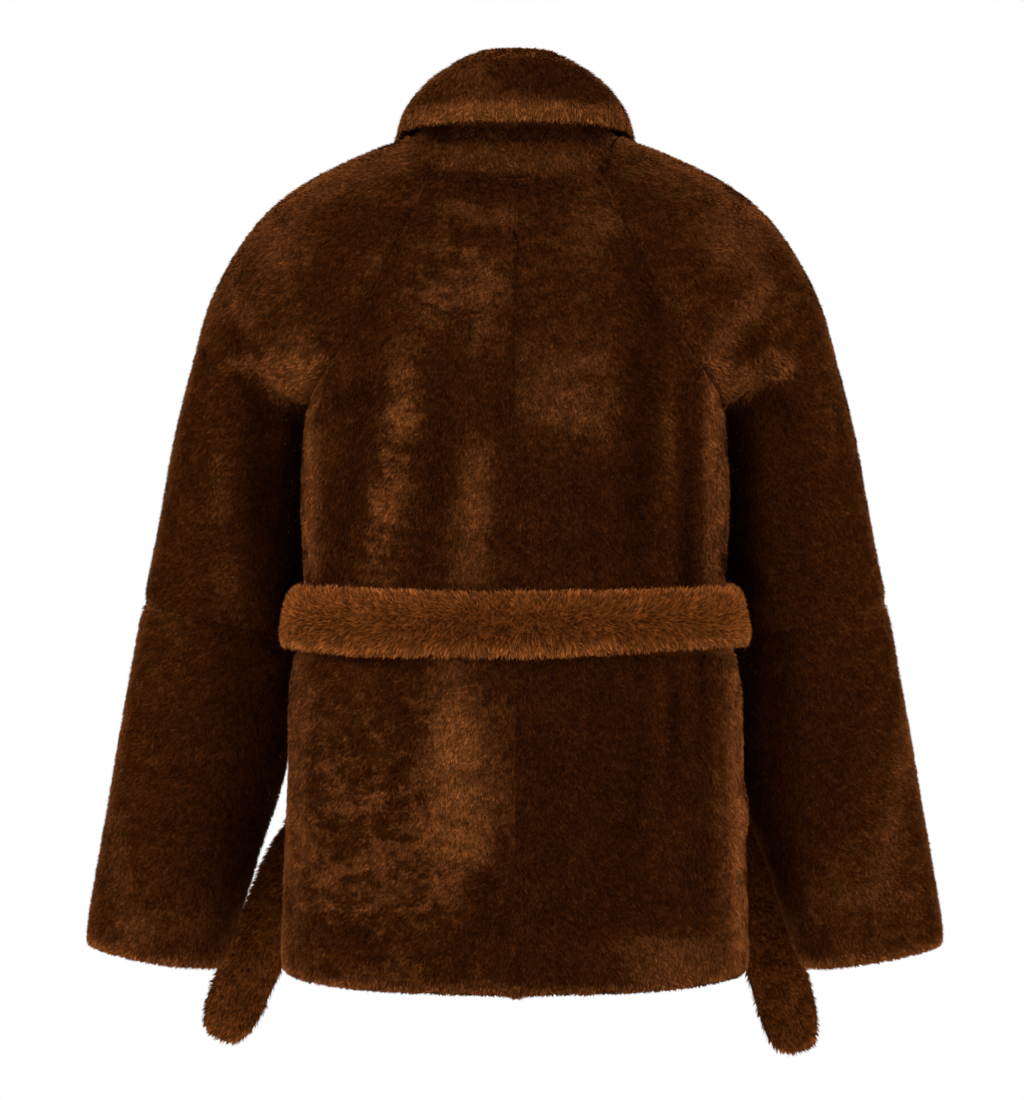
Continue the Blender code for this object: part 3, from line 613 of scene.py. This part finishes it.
def lock_shapes(root, up, pile, comb, draw):
    """Three corners for each lock, its shading direction, and its tuft's number."""
    count = len(root)
    along = comb(root, up)
    firm = np.clip(np.linalg.norm(along, axis=1, keepdims=True), LEAST_FIRM, 1)
    for width, strength in SWIRLS:
        turns = [noise.noise_vector(Vector(place)) for place in root / width]
        along = along + strength * np.array(turns)
    along = unit(along - dot(along, up) * up)
    lean = firm * pile.lean + LEAN_SPREAD * draw.normal(size=(count, 1))
    lean = np.radians(np.clip(lean, LEAST_LEAN, MOST_LEAN))
    stray = STRAY_OUT * draw.normal(size=(count, 3))
    out = unit(np.cos(lean) * up + np.sin(lean) * along + stray)
    across = unit(np.cross(up, out) + STRAY_ACROSS * draw.normal(size=(count, 3)))
    across *= np.where(dot(np.cross(across, out), up) < 0, -1, 1)
    half = pile.width / 2 * draw.uniform(*WIDTHS, (count, 1))
    middle, own = tufts(root, pile.tuft)
    pull = middle - root
    pull -= dot(pull, up) * up
    tip = root + pile.length * draw.uniform(*LENGTHS, (count, 1)) * out + pile.gather * pull
    locks = np.stack([root - half * across, root + half * across, tip], axis=1)
    face = unit(np.cross(across, out))
    return locks, unit(SHADE_UP * up + (1 - SHADE_UP) * face), own


def grow(skin, node, outward, furred, seam, pile, comb, seed):
    """The pile of one piece, as a mesh of locks."""
    draw = np.random.default_rng(seed)
    root, up = scatter(skin, outward, furred, pile.spacing, draw)
    locks, shading, own = lock_shapes(root, up, pile, comb, draw)
    count = len(root)
    mesh = bpy.data.meshes.new(f"pile_{node}")
    mesh.vertices.add(3 * count)
    mesh.vertices.foreach_set("co", locks.ravel())
    mesh.loops.add(3 * count)
    mesh.loops.foreach_set("vertex_index", np.arange(3 * count))
    mesh.polygons.add(count)
    mesh.polygons.foreach_set("loop_start", np.arange(count) * 3)
    chart = np.zeros((count, 3, 2), np.float32)
    alone = draw.random((count, 1))
    chart[:, :, 0] = (TUFT_PALE * own + (1 - TUFT_PALE) * alone) ** FEW_PALE
    chart[:, 2, 1] = 1
    mesh.uv_layers.new(name="lock").data.foreach_set("uv", chart.ravel())
    pale, _, stir = painted_light_and_folds(node, root, up)
    # A painted glow of light through the wool is added near the rims.
    pale += painted_rim_glow(skin, seam, root)
    note(mesh, "painted_light_and_shade", np.repeat(pale, 3))
    note(mesh, "stir", np.repeat(stir, 3))
    mesh.update()
    mesh.normals_split_custom_set_from_vertices(np.repeat(shading, 3, axis=0))
    grown = bpy.data.objects.new(mesh.name, mesh)
    bpy.context.scene.collection.objects.link(grown)
    print(f"{mesh.name}: {count} locks")
    return grown


# %% [markdown]
# ## Finishes
# The pile is a warm dark brown. Its roots are painted darker than its tips, as painted shade where
# little light gets in.
# The painted light and shade number, broken up by three sizes of noise, moves the colour from a
# painted shadow brown to a painted lit one. It has almost no gloss, because wool scatters what
# little it reflects. The inside is plain suede of the same dye.

# %% Dyes, with painted shadow and lit colours
# Each fur's colours: a painted shadow brown, a middle one and a painted lit one, its roots' painted
# shade, and how much its locks vary at random.
DyeAndLight = namedtuple("DyeAndLight", "shadow middle lit root vary")
COAT_DYE_AND_LIGHT = DyeAndLight(
    (0.0120, 0.0030, 0.0007), (0.0280, 0.0073, 0.0017), (0.127, 0.038, 0.0097), 0.6, 2.0
)
BELT_DYE_AND_LIGHT = DyeAndLight(
    (0.0450, 0.0115, 0.0022), (0.0850, 0.0225, 0.0046), (0.165, 0.048, 0.0110), 0.5, 2.3
)
MIDDLE_AT = 0.45  # where the middle colour lies between shadow and lit
DARKEST, PALEST = -1.4, 1.6  # the painted light and shade numbers of the painted shadow colour and the painted lit one
TIP = 1.15  # a tip's brightness; a root's, given with each fur's colours, is darker as painted shade
MOTTLES = ((24.0, 0.32), (70.0, 0.38), (260.0, 0.22))  # noise scale, and how strongly it shows
MEAN_CHART = 0.25  # the mean of the locks' paleness numbers
SMOOTH, STIRRED = 0.3, 1.1  # how strongly mottles show on smooth and on stirred wool
FLATTEN = (1.0, 1.0, 1.6)  # mottles are wider than tall
NOISE_LOW, NOISE_HIGH = 0.38, 0.62  # between these lies most of what a noise texture gives


def add_node(tree, kind, **values):
    """A new node with these settings."""
    made = tree.nodes.new(kind)
    for key, value in values.items():
        setattr(made, key, value)
    return made


def remap(tree, source, low, high, start=0.0, end=1.0):
    """A value moved from the range start to end into the range low to high."""
    change = add_node(tree, "ShaderNodeMapRange")
    set_inputs(change, {"From Min": start, "From Max": end, "To Min": low, "To Max": high})
    tree.links.new(source, change.inputs["Value"])
    return change.outputs["Result"]


def combine(tree, operation, first, second):
    """Two values put together, such as by ADD or MULTIPLY."""
    both = add_node(tree, "ShaderNodeMath", operation=operation)
    tree.links.new(first, both.inputs[0])
    tree.links.new(second, both.inputs[1])
    return both.outputs["Value"]


def cloud(tree, scale, detail=2.0, stretch=(1.0, 1.0, 1.0)):
    """Noise in the object's own coordinates."""
    coordinates = add_node(tree, "ShaderNodeTexCoord")
    stretched = add_node(tree, "ShaderNodeMapping")
    stretched.inputs["Scale"].default_value = stretch
    made = add_node(tree, "ShaderNodeTexNoise")
    set_inputs(made, {"Scale": scale, "Detail": detail})
    tree.links.new(coordinates.outputs["Object"], stretched.inputs["Vector"])
    tree.links.new(stretched.outputs["Vector"], made.inputs["Vector"])
    return made.outputs["Fac"]


def ramp(tree, source, *stops):
    """Colours along a value, from (position, colour) pairs."""
    made = add_node(tree, "ShaderNodeValToRGB")
    while len(made.color_ramp.elements) < len(stops):
        made.color_ramp.elements.new(0.5)
    for element, (position, colour) in zip(made.color_ramp.elements, stops):
        element.position = position
        element.color = (*colour, 1)
    tree.links.new(source, made.inputs["Fac"])
    return made.outputs["Color"]


# %% The pile's material
PILE_SURFACE = {
    "Roughness": 0.85,
    "Specular IOR Level": 0.0,
    "Sheen Weight": 0.12,
    "Sheen Roughness": 0.25,
    "Sheen Tint": (1.0, 0.36, 0.09, 1),
}


def pile_finish(name, dye_and_light, on_locks):
    """For the locks, or for the skin between their roots."""
    material, tree, shader = new_material(name, PILE_SURFACE)
    # The painted light and shade kept on each point.
    total = add_node(tree, "ShaderNodeAttribute", attribute_name="painted_light_and_shade").outputs["Fac"]
    stir = add_node(tree, "ShaderNodeAttribute", attribute_name="stir").outputs["Fac"]
    stirred = remap(tree, stir, SMOOTH, STIRRED)
    for scale, strength in MOTTLES:
        patches = cloud(tree, scale, stretch=FLATTEN)
        mottle = remap(tree, patches, -strength, strength, NOISE_LOW, NOISE_HIGH)
        total = combine(tree, "ADD", total, combine(tree, "MULTIPLY", mottle, stirred))
    level = remap(tree, total, 0, 1, DARKEST, PALEST)
    # From the painted shadow colour, through the middle one, to the painted lit one.
    colour = ramp(tree, level, (0, dye_and_light.shadow), (MIDDLE_AT, dye_and_light.middle), (1, dye_and_light.lit))
    if on_locks:
        place = add_node(tree, "ShaderNodeUVMap", uv_map="lock")
        split = add_node(tree, "ShaderNodeSeparateXYZ")
        tree.links.new(place.outputs["UV"], split.inputs["Vector"])
        # Painted shade: each lock is darker towards its root, where little light gets in.
        height = remap(tree, split.outputs["Y"], dye_and_light.root, TIP)
        dark, pale = 1 - MEAN_CHART * dye_and_light.vary, 1 + (1 - MEAN_CHART) * dye_and_light.vary
        own = remap(tree, split.outputs["X"], dark, pale)
        scaled = add_node(tree, "ShaderNodeVectorMath", operation="SCALE")
        tree.links.new(colour, scaled.inputs[0])
        tree.links.new(combine(tree, "MULTIPLY", height, own), scaled.inputs["Scale"])
        colour = scaled.outputs["Vector"]
    tree.links.new(colour, shader.inputs["Base Color"])
    return material


# %% The suede, and all the finishes
SUEDE_SURFACE = {"Roughness": 0.9, "Specular IOR Level": 0.2}
SUEDE_GRAIN = 60.0
SUEDE_COLOURS = ((0.3, (0.050, 0.021, 0.010)), (0.7, (0.095, 0.042, 0.021)))


def suede_finish():
    """For the inside of the coat."""
    material, tree, shader = new_material("suede", SUEDE_SURFACE)
    colour = ramp(tree, cloud(tree, SUEDE_GRAIN, detail=6.0), *SUEDE_COLOURS)
    tree.links.new(colour, shader.inputs["Base Color"])
    return material


# For each fur, the finish of the skin between the locks and that of the locks.
finishes = {
    f"{fur}_fur": (pile_finish(f"{fur}_roots", dye_and_light, False), pile_finish(f"{fur}_locks", dye_and_light, True))
    for fur, dye_and_light in (("coat", COAT_DYE_AND_LIGHT), ("belt", BELT_DYE_AND_LIGHT))
}
suede = suede_finish()

# %% [markdown]
# ## Dressing every piece
# The panels of the body and the sleeves are furred outside and suede inside. The collar, the belt
# and the belt's ends show both of their sides, so they are furred all round. Wool is combed down,
# and on the collar down both sides of its fold. On the belt it spreads from the middle to both
# edges.

# %% The ways the wool is combed
FROM_NECK = 0.8  # each number here is a strength beside the others in its comb
FROM_FOLD, DOWN_FOLD = 1.2, 1.5
TO_EDGES, FORWARDS = 1.8, 0.8
BELT_PART = 60 * MM  # from centre back to where the belt's wool lies forwards in full
belt_low, belt_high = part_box("belt")
belt_middle, belt_half = (belt_low.z + belt_high.z) / 2, (belt_high.z - belt_low.z) / 2


def comb_down(points, up):
    """Down, and away from the neck on the shoulders."""
    return FROM_NECK * unit(points * [1, 1, 0]) - Z


def comb_parted(points, up):
    """Down both sides of the collar's fold."""
    return FROM_FOLD * unit(up * [1, 1, 0]) - DOWN_FOLD * Z


def comb_apart(points, up):
    """Up above the belt's middle, down below it, and a little forwards round both sides."""
    forwards = np.clip(points[:, :1] / BELT_PART, -1, 1) * np.cross(up, Z)
    return TO_EDGES * Z * (points[:, 2:] - belt_middle) / belt_half + FORWARDS * forwards


# %% The belt's gathers
# How far each edge is drawn in, at places across the back. All are in millimetres.
LOWER_EDGE = (
    (-190, 8), (-150, 7.5), (-110, 6), (-60, 2.5), (-20, 0), (130, 2), (160, 4.5), (190, 7)
)
UPPER_EDGE = ((-180, 0), (-110, 2), (-20, 3.5), (60, 3.5), (150, 0))
GATHER_FADE, GATHER_START = 60 * MM, 1.3  # how slowly they end towards the front, and from where


def gather(skin):
    """Draws the edges of the belt in where it turns round the sides and on the back's middle."""
    points = column(skin.data.vertices, "co")
    height = (points[:, 2] - belt_middle) / belt_half
    behind = np.clip(points[:, 1] / GATHER_FADE + GATHER_START, 0, 1)
    up = np.interp(points[:, 0], *np.array(LOWER_EDGE).T * [[MM], [MM]])
    down = np.interp(points[:, 0], *np.array(UPPER_EDGE).T * [[MM], [MM]])
    points[:, 2] += behind * (up * np.clip(-height, 0, 1) - down * np.clip(height, 0, 1))
    skin.data.vertices.foreach_set("co", points.ravel())
    skin.data.update()


# %% Skins and piles
PILES = {"coat_fur": COAT_PILE, "belt_fur": BELT_PILE}
LEVELS = {"coat_fur": 1, "belt_fur": 2}  # how often a skin's faces are halved
body_line = middle_line(["back_left", "back_right", "front_left", "front_right"], -Z)
sleeve_lines = {
    side: middle_line([f"sleeve_upper_{side}", f"sleeve_lower_{side}"], unit(lean))
    for side, lean in (("left", 0.2 * X - 0.05 * Y - Z), ("right", -0.2 * X - 0.05 * Y - Z))
}


def dress(node, seed):
    """The skin and the pile of one piece."""
    fur = "belt_fur" if node.startswith("belt") else "coat_fur"
    pile = PILES[fur]
    line = None
    if node.startswith("sleeve"):
        line = sleeve_lines[node.split("_")[-1]]
    elif node.startswith(("back", "front")):
        line = body_line
    skin = smooth_copy(node, LEVELS[fur])
    if node == "belt":
        gather(skin)
    outside, furred, seam = sort_faces(skin, node, line, pile.clear)
    for finish in (finishes[fur][0], suede):
        skin.data.materials.append(finish)
    skin.data.polygons.foreach_set("material_index", np.where(outside, 0, 1))
    outward = fit_skin(skin, node, furred, seam)
    comb = {"belt": comb_apart, "collar": comb_parted}.get(node, comb_down)
    locks = grow(skin, node, outward, furred, seam, pile, comb, seed)
    locks.data.materials.append(finishes[fur][1])
    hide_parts(node)
    for piece in (skin, locks):
        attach(piece, "root")
    return skin, locks


dressed = {node: dress(node, seed) for seed, node in enumerate(sorted(frame["nodes"]))}

# %% [markdown]
# ## The area each piece shows
# Every piece but the knot is a sheet of shearling, and the knot is a thick tied lump. For each
# piece, half of its skin's area, the area that one side shows, is printed.

# %% The area each piece shows, in square metres
Cut = namedtuple("Cut", "width length area held")
for node, (skin, locks) in dressed.items():
    shows = sum(face.area for face in skin.data.polygons) / 2
    print(f"{node}: {shows:.3f} square metres, {len(skin.data.polygons)} faces of skin")
    if node == "belt_knot":
        continue
